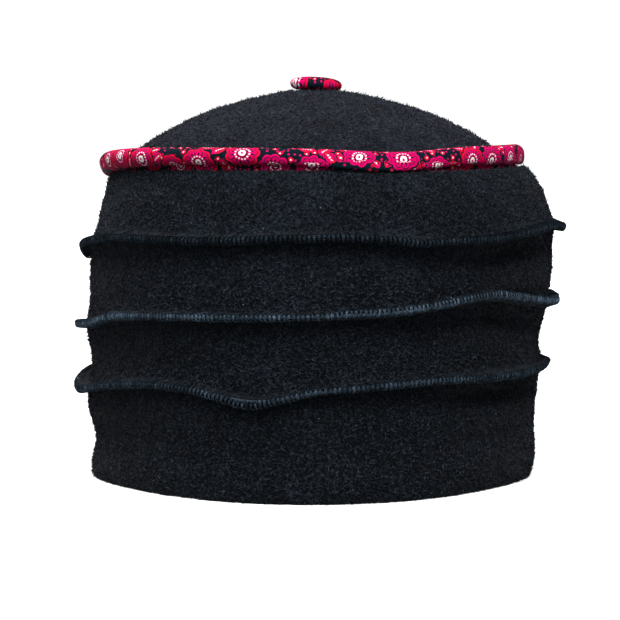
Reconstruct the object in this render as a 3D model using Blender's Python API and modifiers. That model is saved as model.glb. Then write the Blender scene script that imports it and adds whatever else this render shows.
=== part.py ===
"""A fleece beanie: four tiers with wavy outward seams, a domed crown, a piped edge and a button.

Metres, +Z up. The beanie stands on its hem, with its front towards -Y and its right-hand side,
as seen from the front, towards +X. Each fleece piece starts as a turned section. One shaping
rule then gives all of them the oval, leaning and wavy form, so they stay clear of each other.
"""

import bisect
import math
from collections import namedtuple

import bmesh
import bpy
from mathutils import Matrix, Vector

# Driving sizes
HEM_WIDTH = 0.170  # outside, from side to side
HEM_DEPTH = 0.188  # outside, from front to back
SEAM_HEIGHT = 0.1235  # from the hem up to the middle of the piping cord
CROWN_RISE = 0.0303  # from the shoulder of the top tier up to the middle of the crown
FLEECE = 0.0025  # one layer of loose fleece
PRESSED_FLEECE = 0.0010  # one layer of fleece inside an overlocked ridge
RIDGE_REACH = 0.0052  # fleece of a ridge, outwards from the wall
WAVE_HEIGHT = 0.005  # how far a ridge or the piping wanders up or down
RIDGE_FILLET = 0.001  # bend where the wall turns out into a ridge
THREAD = 0.0004  # thickness of the overlock thread round a ridge
THREAD_WRAP = 0.004  # how far the thread reaches in from a ridge's edge
THREAD_ROUNDING = 0.00075
HEM_ROUNDING = 0.0007
CORD_RADIUS = 0.0037
CORD_OVERHANG = 0.75  # from the tail out to the cord's middle, as a share of the cord's radius
PIPING_TAIL = 0.0009  # doubled cotton of the piping below its cord
TAIL_SHOWN = 0.0016  # height of the tail that shows below the cord
SEAM_DEPTH = 0.0017  # how far tail and crown edge reach down behind the shoulder
FOLD_DEPTH = 0.0012  # depth of the soft folds in the crown
BUTTON_RADIUS = 0.01025
BUTTON_HEIGHT = 0.0050
BUTTON_FLAT = 0.55  # radius of the flat underside, as a share of the button's radius
BUTTON_TILT = math.radians(3)
CLEARANCE = 0.0003  # between neighbouring pieces

# The oval is drawn in most between its front and its sides, and its sides are the sharper turns.
SIDE_ROUNDING = 0.25  # 0 is a crease at each side, and 1 a round
PINCH_FULLEST = 3.87  # brings the fullest place of that shape to 1

# Fineness of the solids
COLUMNS = 52
CORD_SIDES = 9
BUTTON_COLUMNS = 24
SHARP_ANGLE = math.radians(50)  # edges that turn by more are shaded as sharp ones
MERGE_DISTANCE = 0.00003
DECIMALS = 6  # of a metre, enough to tell two neighbouring radii apart

# Rows of corners between a tier's two edges, on its outer and its inner side
TierRows = namedtuple("TierRows", "outer inner")
TIER_ROWS = {
    "tier_top": TierRows(3, 2),
    "tier_upper": TierRows(2, 1),
    "tier_lower": TierRows(2, 1),
    "tier_hem": TierRows(4, 1),
}

# Heights are shares of SEAM_HEIGHT, half widths of HEM_WIDTH / 2, half depths of HEM_DEPTH / 2
# and sideways leans of HEM_WIDTH. Pinch is the share by which the oval draws in between its
# front, back and sides.
Section = namedtuple("Section", "height half_width half_depth aside pinch")
SECTIONS = [
    Section(0.000, 1.000, 1.000, 0.000, 0.065),
    Section(0.053, 1.018, 1.010, 0.005, 0.062),
    Section(0.146, 0.992, 1.000, 0.010, 0.058),
    Section(0.243, 1.024, 1.012, 0.001, 0.054),
    Section(0.290, 1.032, 1.016, 0.006, 0.052),
    Section(0.336, 1.028, 1.014, 0.009, 0.050),
    Section(0.397, 1.006, 1.006, 0.008, 0.050),
    Section(0.445, 1.030, 1.018, 0.011, 0.050),
    Section(0.526, 1.042, 1.028, 0.013, 0.045),
    Section(0.615, 1.048, 1.036, 0.021, 0.045),
    Section(0.704, 1.050, 1.034, 0.024, 0.040),
    Section(0.769, 1.046, 1.030, 0.026, 0.035),
    Section(0.834, 1.018, 1.006, 0.027, 0.030),
    Section(0.883, 0.999, 0.988, 0.025, 0.025),
    Section(0.931, 0.962, 0.948, 0.022, 0.020),
    Section(0.957, 0.948, 0.928, 0.012, 0.015),
    Section(0.980, 0.933, 0.914, 0.004, 0.010),
    Section(1.000, 0.929, 0.910, 0.001, 0.010),
    Section(1.100, 0.929, 0.910, 0.005, 0.010),
    Section(1.215, 0.929, 0.910, 0.011, 0.010),
]

# Angles are in degrees from the front, towards the right-hand side. Lifts are shares of
# WAVE_HEIGHT and reaches of RIDGE_REACH.
Wave = namedtuple("Wave", "angle lift reach")
UPPER_RIDGE = [
    Wave(-165, 0.20, 1.00),
    Wave(-140, 0.45, 1.04),
    Wave(-118, -0.55, 0.98),
    Wave(-100, -1.75, 0.84),
    Wave(-84, -0.80, 0.80),
    Wave(-66, -0.24, 0.95),
    Wave(-54, -0.03, 1.00),
    Wave(-25, -0.14, 1.02),
    Wave(-8, 0.06, 1.00),
    Wave(7, 0.12, 1.00),
    Wave(23, -0.28, 1.04),
    Wave(42, -0.18, 1.04),
    Wave(54, 0.20, 1.00),
    Wave(68, 0.56, 0.94),
    Wave(84, 0.52, 0.82),
    Wave(96, 0.66, 0.84),
    Wave(110, 0.92, 0.92),
    Wave(140, 0.10, 1.02),
    Wave(168, 0.10, 1.00),
]
MIDDLE_RIDGE = [
    Wave(-152, 0.30, 1.04),
    Wave(-128, -1.50, 1.00),
    Wave(-104, -1.98, 0.92),
    Wave(-84, -1.63, 0.88),
    Wave(-70, -1.40, 0.90),
    Wave(-58, -0.72, 0.96),
    Wave(-48, -0.46, 1.00),
    Wave(-35, -0.34, 1.00),
    Wave(-3, -0.13, 1.00),
    Wave(16, 0.08, 1.02),
    Wave(30, 0.60, 1.05),
    Wave(41, 1.00, 1.04),
    Wave(50, 0.80, 1.02),
    Wave(60, 0.44, 0.98),
    Wave(72, 0.12, 0.86),
    Wave(84, 0.02, 0.78),
    Wave(98, 0.34, 0.86),
    Wave(126, 0.00, 1.00),
    Wave(150, 0.45, 1.02),
    Wave(180, 0.10, 1.00),
]
LOWER_RIDGE = [
    Wave(-166, -0.30, 1.00),
    Wave(-141, 0.20, 1.04),
    Wave(-122, 0.02, 1.00),
    Wave(-106, -0.10, 0.98),
    Wave(-93, -0.66, 0.98),
    Wave(-82, -1.24, 0.96),
    Wave(-70, -0.86, 0.95),
    Wave(-54, -0.28, 1.00),
    Wave(-40, 0.00, 1.02),
    Wave(-26, -0.20, 1.00),
    Wave(-12, -1.08, 1.04),
    Wave(-2, -0.27, 1.00),
    Wave(9, 0.06, 1.00),
    Wave(25, 0.38, 1.00),
    Wave(35, 0.36, 1.02),
    Wave(46, 0.46, 1.02),
    Wave(62, 0.50, 0.98),
    Wave(74, 0.62, 0.74),
    Wave(86, 0.74, 0.58),
    Wave(102, 0.56, 0.72),
    Wave(126, 0.00, 1.00),
    Wave(160, 0.40, 1.02),
]
PIPING_LINE = [
    Wave(-135, -0.30, 1.00),
    Wave(-108, -0.62, 1.00),
    Wave(-90, -0.52, 1.00),
    Wave(-72, -0.22, 1.00),
    Wave(-45, 0.00, 1.00),
    Wave(22, -0.08, 1.00),
    Wave(50, 0.06, 1.00),
    Wave(90, 0.26, 1.00),
    Wave(130, 0.05, 1.00),
    Wave(180, -0.05, 1.00),
]

LEVEL = [Wave(0, 0.00, 1.00)]

# Heights are shares of SEAM_HEIGHT. Between two lines the wave of one passes into that of the next.
WavyLine = namedtuple("WavyLine", "height waves")
HEM_LINE = WavyLine(0.000, LEVEL)
LOWER_LINE = WavyLine(0.336, LOWER_RIDGE)
MIDDLE_LINE = WavyLine(0.547, MIDDLE_RIDGE)
UPPER_LINE = WavyLine(0.765, UPPER_RIDGE)
SEAM_LINE = WavyLine(1.000, PIPING_LINE)
CROWN_LINE = WavyLine(1.200, LEVEL)
LINES = [HEM_LINE, LOWER_LINE, MIDDLE_LINE, UPPER_LINE, SEAM_LINE, CROWN_LINE]

# Radii are shares of the crown's edge radius, and rises of CROWN_RISE.
DomeRow = namedtuple("DomeRow", "radius rise")
DOME = [
    DomeRow(0.000, 1.000),
    DomeRow(0.150, 1.000),
    DomeRow(0.300, 0.932),
    DomeRow(0.460, 0.835),
    DomeRow(0.600, 0.728),
    DomeRow(0.730, 0.580),
    DomeRow(0.850, 0.412),
    DomeRow(0.940, 0.242),
    DomeRow(0.990, 0.129),
    DomeRow(1.000, 0.021),
]

# Angles and half widths are in degrees, and depths are shares of FOLD_DEPTH.
Fold = namedtuple("Fold", "angle half_width depth")
CROWN_FOLDS = [
    Fold(-62, 13, 0.9),
    Fold(-14, 16, 1.0),
    Fold(36, 12, 0.9),
    Fold(98, 15, 0.8),
    Fold(158, 14, 1.0),
    Fold(-118, 15, 0.8),
]

# Radii are shares of BUTTON_RADIUS and heights of BUTTON_HEIGHT, down the outer side.
ButtonRow = namedtuple("ButtonRow", "radius height")
BUTTON_ROWS = [
    ButtonRow(0.00, 1.00),
    ButtonRow(0.45, 0.97),
    ButtonRow(0.80, 0.86),
    ButtonRow(0.97, 0.64),
    ButtonRow(1.00, 0.42),
    ButtonRow(0.93, 0.16),
    ButtonRow(0.80, 0.05),
    ButtonRow(BUTTON_FLAT, 0.00),
    ButtonRow(0.00, 0.00),
]

Finish = namedtuple("Finish", "colour roughness")
BAND_FLEECE = Finish((0.008, 0.011, 0.014), 0.95)
CROWN_FLEECE = Finish((0.016, 0.016, 0.019), 0.95)
OVERLOCK = Finish((0.012, 0.020, 0.032), 0.60)
PRINTED_COTTON = Finish((0.60, 0.012, 0.08), 0.70)

# Values worked out from the sizes
TURNED_RADIUS = HEM_WIDTH / 2  # radius of the turned sections before they are shaped
SHOULDER = SEAM_HEIGHT - CORD_RADIUS - TAIL_SHOWN
SEAM_END = SHOULDER - SEAM_DEPTH
TAIL_OUTER = TURNED_RADIUS - FLEECE - CLEARANCE
TAIL_INNER = TAIL_OUTER - PIPING_TAIL
CROWN_RADIUS = TAIL_INNER - CLEARANCE
CORD_CENTRE = (TAIL_INNER + TAIL_OUTER) / 2 + CORD_RADIUS * CORD_OVERHANG
RIDGE_EDGE = TURNED_RADIUS + RIDGE_REACH
HALF_GAP = CLEARANCE / 2
CORNER_CUT = 1 - math.sqrt(0.5)  # inset of a rounded corner's middle, as a share of its radius


def smooth_curve(knots, values, place):
    """The value at a place on a smooth curve through the values at the knots."""
    last = len(knots) - 1
    i = min(max(bisect.bisect_right(knots, place) - 1, 0), last - 1)
    before, after = max(i - 1, 0), min(i + 2, last)
    span = knots[i + 1] - knots[i]
    t = min(max((place - knots[i]) / span, 0), 1)
    start_slope = (values[i + 1] - values[before]) / (knots[i + 1] - knots[before]) * span
    end_slope = (values[after] - values[i]) / (knots[after] - knots[i]) * span
    rise = values[i + 1] - values[i]
    square = 3 * rise - 2 * start_slope - end_slope
    cube = start_slope + end_slope - 2 * rise
    return values[i] + t * (start_slope + t * (square + t * cube))


def section_at(height):
    """The band's section at a height."""
    share = height / SEAM_HEIGHT
    knots, *columns = zip(*SECTIONS)
    return Section(share, *(smooth_curve(knots, column, share) for column in columns))


def wave_at(waves, angle):
    """Lift and reach of a wavy line at an angle, as shares."""
    rows = [w._replace(angle=w.angle + turn) for turn in (-360, 0, 360) for w in waves]
    knots = [w.angle for w in rows]
    lift = smooth_curve(knots, [w.lift for w in rows], angle)
    reach = smooth_curve(knots, [w.reach for w in rows], angle)
    return lift, reach


def sway_at(height, angle):
    """Lift and reach at a height and an angle, passing smoothly from line to line."""
    heights = [line.height * SEAM_HEIGHT for line in LINES]
    i = min(max(bisect.bisect_right(heights, height) - 1, 0), len(LINES) - 2)
    share = 1 - fade(height - heights[i], heights[i + 1] - heights[i])
    low, high = (wave_at(line.waves, angle) for line in LINES[i:i + 2])
    return [a + (b - a) * share for a, b in zip(low, high)]


def wall_radius(section, angle):
    """Distance of the wall's outer side from the section's middle."""
    across, along = math.sin(angle), math.cos(angle)
    oval = math.hypot(across / section.half_width / HEM_WIDTH, along / section.half_depth / HEM_DEPTH)
    drawn_in = across**2 * (math.hypot(along, SIDE_ROUNDING) - SIDE_ROUNDING) * PINCH_FULLEST
    return (1 - section.pinch * drawn_in) / (2 * oval)


def fade(distance, reach):
    """1 at no distance, falling smoothly to 0 at the reach."""
    share = min(distance / reach, 1)
    return (1 + math.cos(math.pi * share)) / 2


def fold_drop(angle, radius):
    """How far the crown's folds lower a point at a turned radius."""
    share = min(radius / CROWN_RADIUS, 1)
    drop = 0
    for fold in CROWN_FOLDS:
        turn = (angle - fold.angle + 180) % 360 - 180
        drop += fold.depth * fade(abs(turn), 2 * fold.half_width)
    return FOLD_DEPTH * drop * math.sin(math.pi * share) * share


def shaped(point):
    """Where a point of the turned beanie lies on the oval, leaning and wavy one."""
    radius = math.hypot(point.x, point.y)
    angle = math.atan2(point.x, -point.y)
    degrees = math.degrees(angle)
    lift, reach = sway_at(point.z, degrees)
    stretch = (reach - 1) * max(radius - TURNED_RADIUS, 0)
    section = section_at(point.z)
    wall = wall_radius(section, angle)
    inwards = max(1 - radius / TURNED_RADIUS, 0)
    final = wall + radius - TURNED_RADIUS + stretch - (wall - TURNED_RADIUS) * inwards**2
    x = section.aside * HEM_WIDTH + final * math.sin(angle)
    rise = lift * WAVE_HEIGHT - fold_drop(degrees, radius)
    return Vector((x, -final * math.cos(angle), point.z + rise))


def parallel(points, distance):
    """The points of a section line, moved to its right by a distance."""
    moved = []
    for i, (r, z) in enumerate(points):
        ahead, behind = points[min(i + 1, len(points) - 1)], points[max(i - 1, 0)]
        run, rise = ahead[0] - behind[0], ahead[1] - behind[1]
        length = math.hypot(run, rise)
        moved.append((max(r + rise / length * distance, 0), z - run / length * distance))
    return moved


def between(start, end, count):
    """Heights that divide the way from start to end, without its ends."""
    return [start + (end - start) * (i + 1) / (count + 1) for i in range(count)]


def lower_ridge_half(seam):
    """Outer side of a tier's lower edge, where it turns out above a seam."""
    low = seam + HALF_GAP
    high = low + PRESSED_FLEECE
    return [
        (TURNED_RADIUS, high + RIDGE_FILLET),
        (TURNED_RADIUS + RIDGE_FILLET, high),
        (RIDGE_EDGE, high),
        (RIDGE_EDGE, low),
        (TURNED_RADIUS - FLEECE, low),
    ]


def upper_ridge_half(seam):
    """Outer side of a tier's upper edge, where it turns out below a seam."""
    high = seam - HALF_GAP
    low = high - PRESSED_FLEECE
    return [
        (TURNED_RADIUS - FLEECE, high),
        (RIDGE_EDGE, high),
        (RIDGE_EDGE, low),
        (TURNED_RADIUS + RIDGE_FILLET, low),
        (TURNED_RADIUS, low - RIDGE_FILLET),
    ]


def shoulder_edge():
    """Outer side of the top tier's rounded upper edge, below the piping."""
    rounding = FLEECE / 2
    inset = rounding * CORNER_CUT
    return [
        (TURNED_RADIUS - FLEECE, SHOULDER - rounding),
        (TURNED_RADIUS - FLEECE + inset, SHOULDER - inset),
        (TURNED_RADIUS - rounding, SHOULDER),
        (TURNED_RADIUS - inset, SHOULDER - inset),
        (TURNED_RADIUS, SHOULDER - rounding),
    ]


def hem_edge():
    """Outer side of the hem's lower edge, flat where it stands."""
    return [
        (TURNED_RADIUS, HEM_ROUNDING),
        (TURNED_RADIUS - HEM_ROUNDING, 0),
        (TURNED_RADIUS - FLEECE + HEM_ROUNDING, 0),
        (TURNED_RADIUS - FLEECE, HEM_ROUNDING),
    ]


def tier_section(top_edge, bottom_edge, rows):
    """Closed section of a tier, down its outer side and up its inner side."""
    outer = between(top_edge[-1][1], bottom_edge[0][1], rows.outer)
    inner = between(bottom_edge[-1][1], top_edge[0][1], rows.inner)
    down = [(TURNED_RADIUS, z) for z in outer]
    up = [(TURNED_RADIUS - FLEECE, z) for z in inner]
    return top_edge + down + bottom_edge + up


def edging_section(seam):
    """Closed section of the overlock thread that wraps a ridge's free edge."""
    inside = RIDGE_EDGE + CLEARANCE
    half = HALF_GAP + PRESSED_FLEECE + CLEARANCE
    outside, full, start = inside + THREAD, half + THREAD, RIDGE_EDGE - THREAD_WRAP
    return [
        (start, seam + full),
        (outside - THREAD_ROUNDING, seam + full),
        (outside, seam + full - THREAD_ROUNDING),
        (outside, seam - full + THREAD_ROUNDING),
        (outside - THREAD_ROUNDING, seam - full),
        (start, seam - full),
        (start, seam - half),
        (inside, seam - half),
        (inside, seam + half),
        (start, seam + half),
    ]


def piping_section():
    """Closed section of the piping: a round cord with a flat tail at its inner side.

    A turn of 0 is the cord's lowest line, and a quarter turn on is its outermost one.
    """
    first = math.asin((TAIL_INNER - CORD_CENTRE) / CORD_RADIUS) + 2 * math.pi
    last = math.asin((TAIL_OUTER - CORD_CENTRE) / CORD_RADIUS)
    points = []
    for i in range(CORD_SIDES + 1):
        turn = first + (last - first) * i / CORD_SIDES
        r = CORD_CENTRE + CORD_RADIUS * math.sin(turn)
        points.append((r, SEAM_HEIGHT - CORD_RADIUS * math.cos(turn)))
    return points + [(TAIL_OUTER, SEAM_END), (TAIL_INNER, SEAM_END)]


def crown_section():
    """Open section of the crown, from its middle down its outer side and back up inside."""
    outer = [(row.radius * CROWN_RADIUS, SHOULDER + row.rise * CROWN_RISE) for row in DOME]
    edge = [(CROWN_RADIUS, SEAM_END), (CROWN_RADIUS - FLEECE, SEAM_END)]
    inner = parallel(outer, FLEECE)[::2]
    return outer + edge + inner[::-1]


def turned(name, section, columns, closed):
    """An object turned from a section line in the XZ plane."""
    count = len(section)
    edges = [(i, i + 1) for i in range(count - 1)] + ([(count - 1, 0)] if closed else [])
    mesh = bpy.data.meshes.new(name)
    mesh.from_pydata([(r, 0, z) for r, z in section], edges, [])
    piece = bpy.data.objects.new(name, mesh)
    bpy.context.scene.collection.objects.link(piece)
    screw = piece.modifiers.new("Turn", "SCREW")
    screw.steps = columns
    screw.render_steps = columns
    screw.use_merge_vertices = True
    screw.merge_threshold = MERGE_DISTANCE
    screw.use_smooth_shade = True
    drawn = piece.evaluated_get(bpy.context.evaluated_depsgraph_get())
    solid = bpy.data.meshes.new_from_object(drawn)
    piece.modifiers.clear()
    piece.data = solid
    bpy.data.meshes.remove(mesh)
    solid.name = name
    return piece


def split_alike(mesh):
    """Splits every four-sided face along the same diagonal, from inner to outer corner.

    Surfaces that face each other then stay evenly apart when the mesh is shaped.
    """
    work = bmesh.new()
    work.from_mesh(mesh)
    for face in [f for f in work.faces if len(f.verts) == 4]:
        middle = face.calc_center_median()
        corners = sorted(face.verts, key=lambda v: (round(v.co.xy.length, DECIMALS), v.co.z))
        ahead = [v for v in corners if middle.xy.cross(v.co.xy) > 0]
        behind = [v for v in corners if middle.xy.cross(v.co.xy) < 0]
        bmesh.utils.face_split(face, behind[0], ahead[-1])
    work.to_mesh(mesh)
    work.free()


def finished(piece, collection, finish):
    """Puts a piece in the beanie's collection, with its material and smooth shading."""
    material = bpy.data.materials.new(piece.name)
    material.use_nodes = True
    shader = material.node_tree.nodes["Principled BSDF"]
    shader.inputs["Base Color"].default_value = (*finish.colour, 1)
    shader.inputs["Roughness"].default_value = finish.roughness
    shader.inputs["Metallic"].default_value = 0
    piece.data.materials.clear()
    piece.data.materials.append(material)
    piece.data.set_sharp_from_angle(angle=SHARP_ANGLE)
    bpy.context.scene.collection.objects.unlink(piece)
    collection.objects.link(piece)
    return piece


def shaped_piece(name, section, closed, collection, finish):
    """A turned piece of the beanie, brought to its real form."""
    piece = turned(name, section, COLUMNS, closed)
    split_alike(piece.data)
    for vertex in piece.data.vertices:
        vertex.co = shaped(vertex.co)
    return finished(piece, collection, finish)


def button(collection):
    """The covered button, seated on the middle of the crown."""
    section = [(row.radius * BUTTON_RADIUS, row.height * BUTTON_HEIGHT) for row in BUTTON_ROWS]
    piece = turned("button", section, BUTTON_COLUMNS, closed=False)
    seat = shaped(Vector((0, 0, SHOULDER + CROWN_RISE)))
    seat.z += CLEARANCE + BUTTON_FLAT * BUTTON_RADIUS * math.sin(BUTTON_TILT)
    piece.data.transform(Matrix.Rotation(BUTTON_TILT, 4, "Y"))
    piece.data.transform(Matrix.Translation(seat))
    return finished(piece, collection, PRINTED_COTTON)


def centred(pieces):
    """Moves the pieces together, so that the middle of their box lies over the origin."""
    for axis in (0, 1):
        places = [v.co[axis] for piece in pieces for v in piece.data.vertices]
        shift = Vector((0, 0, 0))
        shift[axis] = -(min(places) + max(places)) / 2
        for piece in pieces:
            piece.data.transform(Matrix.Translation(shift))


def clear_scene():
    """Takes everything out of the scene."""
    for item in list(bpy.data.objects):
        bpy.data.objects.remove(item)


def build_beanie():
    """Builds every piece of the beanie in one collection."""
    clear_scene()
    collection = bpy.data.collections.new("fleece_beanie")
    bpy.context.scene.collection.children.link(collection)
    upper, middle, lower = (
        line.height * SEAM_HEIGHT for line in (UPPER_LINE, MIDDLE_LINE, LOWER_LINE))
    tier_edges = {
        "tier_top": (shoulder_edge(), lower_ridge_half(upper)),
        "tier_upper": (upper_ridge_half(upper), lower_ridge_half(middle)),
        "tier_lower": (upper_ridge_half(middle), lower_ridge_half(lower)),
        "tier_hem": (upper_ridge_half(lower), hem_edge()),
    }
    pieces = [shaped_piece("crown", crown_section(), False, collection, CROWN_FLEECE)]
    pieces.append(shaped_piece("piping", piping_section(), True, collection, PRINTED_COTTON))
    for name, (top_edge, bottom_edge) in tier_edges.items():
        section = tier_section(top_edge, bottom_edge, TIER_ROWS[name])
        pieces.append(shaped_piece(name, section, True, collection, BAND_FLEECE))
    for number, seam in enumerate((upper, middle, lower), 1):
        section = edging_section(seam)
        pieces.append(shaped_piece(f"edging_{number}", section, True, collection, OVERLOCK))
    pieces.append(button(collection))
    centred(pieces)


build_beanie()
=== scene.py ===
"""The looks of a fleece beanie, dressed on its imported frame.

Each fleece piece is a subdivided copy of its solid with a short pile on it. The ridges get their
overlock stitches, and the piping and the button a printed cotton. Metres, +Z up, front to -Y.
"""

import math

import bpy
import numpy as np
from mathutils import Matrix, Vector, noise
from mathutils.bvhtree import BVHTree


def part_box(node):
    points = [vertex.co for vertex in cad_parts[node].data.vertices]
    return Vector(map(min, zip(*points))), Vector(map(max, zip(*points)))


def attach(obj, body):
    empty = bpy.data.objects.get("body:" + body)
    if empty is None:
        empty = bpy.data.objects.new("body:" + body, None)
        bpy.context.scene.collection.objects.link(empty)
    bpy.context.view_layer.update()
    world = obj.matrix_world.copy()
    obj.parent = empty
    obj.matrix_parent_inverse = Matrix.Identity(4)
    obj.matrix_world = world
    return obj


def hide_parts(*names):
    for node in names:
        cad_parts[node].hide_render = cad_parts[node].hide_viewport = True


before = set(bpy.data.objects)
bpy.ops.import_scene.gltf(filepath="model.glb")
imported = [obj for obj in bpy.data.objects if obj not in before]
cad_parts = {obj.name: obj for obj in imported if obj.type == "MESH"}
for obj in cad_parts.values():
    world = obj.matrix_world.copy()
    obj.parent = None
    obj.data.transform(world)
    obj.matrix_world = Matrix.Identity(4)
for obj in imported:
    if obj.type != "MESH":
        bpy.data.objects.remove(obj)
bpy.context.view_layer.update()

# Lengths are in metres where nothing else is said. Turns round the hat's axis are given in
# degrees, 0 at the front and more towards the right-hand side of the photograph.
MERGE = 0.00001  # corners nearer to each other than this are one
ABOVE_FLOOR = 0.0001
ROUNDINGS = 2  # levels of subdivision of cloth and cover
COLUMN_GAP = 0.03  # least angle between two columns of a turned solid, in radians

# The fleece, and the pile on it
TIERS = {"tier_top": 11, "tier_upper": 12, "tier_lower": 13, "tier_hem": 14}  # with their seeds
CROWN_SEED = 15
PILE_LENGTH = 0.0016  # one tuft of the fleece's pile
PILE_WIDTH = 0.00060
PILE_DENSITY = 1.10e6  # tufts on a square metre
INSIDE_SHARE = 0.15  # of that density on the inner side
INSIDE_FACING = -0.3  # the inner side faces the hat's middle by more than this
PILE_CLUMPS = {"Scale": 720.0, "Detail": 2.5, "Roughness": 0.6}  # noise that gathers the tufts
CLUMP_EDGES = (0.38, 0.66)
CLUMP_SIZES = (0.60, 1.25)  # of the tufts between the clumps and in them
TUFT_SIZES = ((0.7, 0.7, 0.5), (1.5, 1.5, 1.6))  # least and most, the last number along the tuft
PILE_LEANS = (math.radians(38), math.radians(84))  # from upright
PILE_DEPTH = 0.0001  # the cloth lies this much deeper than its solid, to leave room for the pile
PILE_REACH = 0.0013  # nearer to another piece than this, the pile is shorter
BESIDE_SHARE = 1.5  # room for pile beside another piece, as a share of the way to it
LEAST_PILE = 0.15  # below this share of its length there is no pile
UNEVENNESS = 0.00035  # of the worn cloth, in and out
BROAD_BUMPS, FINE_BUMPS = 220, 520  # scales of its two noises
FINE_SHARE = 0.6

# Where the cloth is drawn in under the ridges, and bulges below them
RIDGES_ABOVE = {"tier_upper": 1, "tier_lower": 2, "tier_hem": 3}
TUCK_TURN = 56
TUCK_SPREADS = (26, 20)  # before that turn and beyond it
TUCK_DEPTH = 0.0042
TUCK_FROM, TUCK_HEIGHT = 0.0012, 0.0125  # below a ridge's root
BULGE_DEPTH = 0.0010
BULGE_FROM, BULGE_HEIGHT = 0.0125, 0.0125

# The overlock stitches on the ridges. A stitch runs along the outline of a ridge's edge. Its
# places are counted from the middle of the edge's face, along the outline: up and inwards is
# more, down and inwards less.
STITCH_PITCH = 0.0017
STITCH_THREAD = 0.00042  # thickness of the overlock thread
STITCH_GAUGE = 0.00046  # between the two legs of a stitch
STITCH_TURNS = (0.08, 0.10, 0.24)  # the most a stitch turns about its own axes, in radians
STITCH_SIZES = ((0.85, 0.95, 0.93), (1.15, 1.05, 1.08))
UPPER_LOOP = [0.0050, 0.0036, 0.0024, 0.0016, 0.0009, 0.0002, -0.0006]
UPPER_ENDS = (0.0054, -0.0010)
LOWER_LOOP = [-0.0009, -0.0018, -0.0046]
LOWER_ENDS = (-0.0005, -0.0050)
LOWER_PAINTED_SHADE = 0.25  # painted shade: the lower loop's thread is coloured this much as light as the upper's, for the shade under the ridge's edge
EDGE_HEIGHT = 0.0028  # of a ridge's wrapped edge, from the thread's middle above to that below
EDGE_ROUNDING = 0.0012
EDGE_BAND = 0.0002  # corners of a ridge's free edge lie this near to its furthest reach
ROOT_BAND = 0.0010  # and those of its inner end to its least
CURVE_STEP = 0.05  # of the smooth line through a ridge's columns
BED_SHARE = 0.55  # height of the bed of thread, as a share of its solid's
BED_INSET = 0.0007  # how far the bed lies inside its solid
BED_PAINTED_SHADE = 0.58  # painted shade: of the thread beneath the stitches, coloured darker for the shade they cast on it
RIDGE_PAINTED_LIGHTS = {1: 0.26, 2: 0.92, 3: 0.55}  # how light the thread of each ridge is painted: one thread, with painted light where a ridge shows its lit upper face and painted shade where that face is hidden
STRAND_LIGHTS = (0.35, 1.0)  # of its darkest and its lightest stitch

# The piping and the button
CORD_RADIUS = 0.0037  # of the piping, as in the solid
TAIL_FROM = 1.12  # beyond this share of the cord's radius lies its tail
SEAM_TURN = math.radians(-47)  # where the cover's map begins, from the cord's lowest line
COVER_SAGS = [  # turn, spread, depth and bulge outwards
    (-90, 40, 0.0015, 0.0),
    (90, 35, 0.0011, 0.0),
    (12, 14, 0.0010, 0.0018),
]
CORD_DIP = (19, 14, 0.0015)  # turn, spread and depth
CORD_PRESS = (-10, 55, 0.0010)  # where it is pressed flatter from above
CROWN_LAP = (-68, 36, 0.0008)  # where the cover leans on the crown
PUCKER_PITCH = 0.0043
PUCKER_DEPTH = 0.0001
SECOND_PUCKER = (2.37, 1.1)  # its pitch as a multiple of the first's, and its start
PUCKER_SHARES = (0.25, 0.75)  # all round the cover, and more at its seam
BUTTON_SINK = 0.0004  # its underside is pulled down into the pile
BUTTON_SPOT = (0.0275, -0.0030)  # where on the print the button is cut

# The print, drawn in millimetres. Each motif has cells, of a width and an unevenness.
PRINT_UNIT = 1000  # millimetres to a metre
PRINT_EDGE = 0.05  # softness of its edges
NAVY = (0.0035, 0.0090, 0.0150, 1)
MAGENTA = (0.60, 0.0004, 0.110, 1)
RED = (0.72, 0.002, 0.040, 1)
WHITE = (0.86, 0.86, 0.86, 1)
DOT_CELLS = (1.9, 0.5)
DOT_RADIUS = 0.42
DOTS_LEFT_OUT = 0.4
DROP_CELLS = (4.4, 0.7)
DROP_RADIUS, DROP_RING = 0.85, 1.10
DROP_POINT = 0.35  # how pointed a drop is
DROP_LIGHT = (0.25, 0.28)  # how far its light lies off the middle, and the light's radius
LEAF_CELLS = (7.6, 0.65)
LEAF_HALF_WIDTH = 2.1
LEAF_TAPER = 0.16
LEAF_OUTLINE = 0.30
LEAF_VEIN = (0.62, 0.16)  # inset and half its width
LEAF_HEART = 0.62  # half the width of the lighter middle
LEAF_BEADS = (0.30, 1.2)  # radius, and how far inside the leaf they keep
LEAVES_LEFT_OUT = 0.32
ROSETTE_CELLS = (15.0, 0.45)
ROSETTE_SIZES = (0.25, 0.90)  # how much they differ, and the least
ROSETTE_LOBES = 9
LOBE_HEIGHT = 0.8
BORDER_RADIUS = 5.2
ROSETTE_OUTLINE = 0.65
FIELD_EDGES = (3.6, 5.6)  # where the inner colour changes to the rim's
BORDER_LINE = (-1.05, 0.17)  # place from the border, and half its width
HEART_LINE = (1.72, 0.18)  # radius and half its width
TEETH = (16, 3.00, 1.45)  # count, foot and height
BEADS = (14, 2.42, 0.30)  # count, radius of the ring and of a bead
HEART_RADIUS = 1.28
HEART_SPOT = 0.50
WANDER = {"Scale": 0.35, "Detail": 1.0}  # noise that shifts the drawing a little
WANDER_REACH = (0.8, 0.8, 0.0)
CREASES = {"Scale": 0.55, "Detail": 3.0}
CREASE_SHADES = (0.30, 0.84)
THREAD_PITCH = 0.36  # of the cotton's weave
WEAVE_SHADE, WEAVE_HEIGHT = 0.06, 0.03

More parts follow.
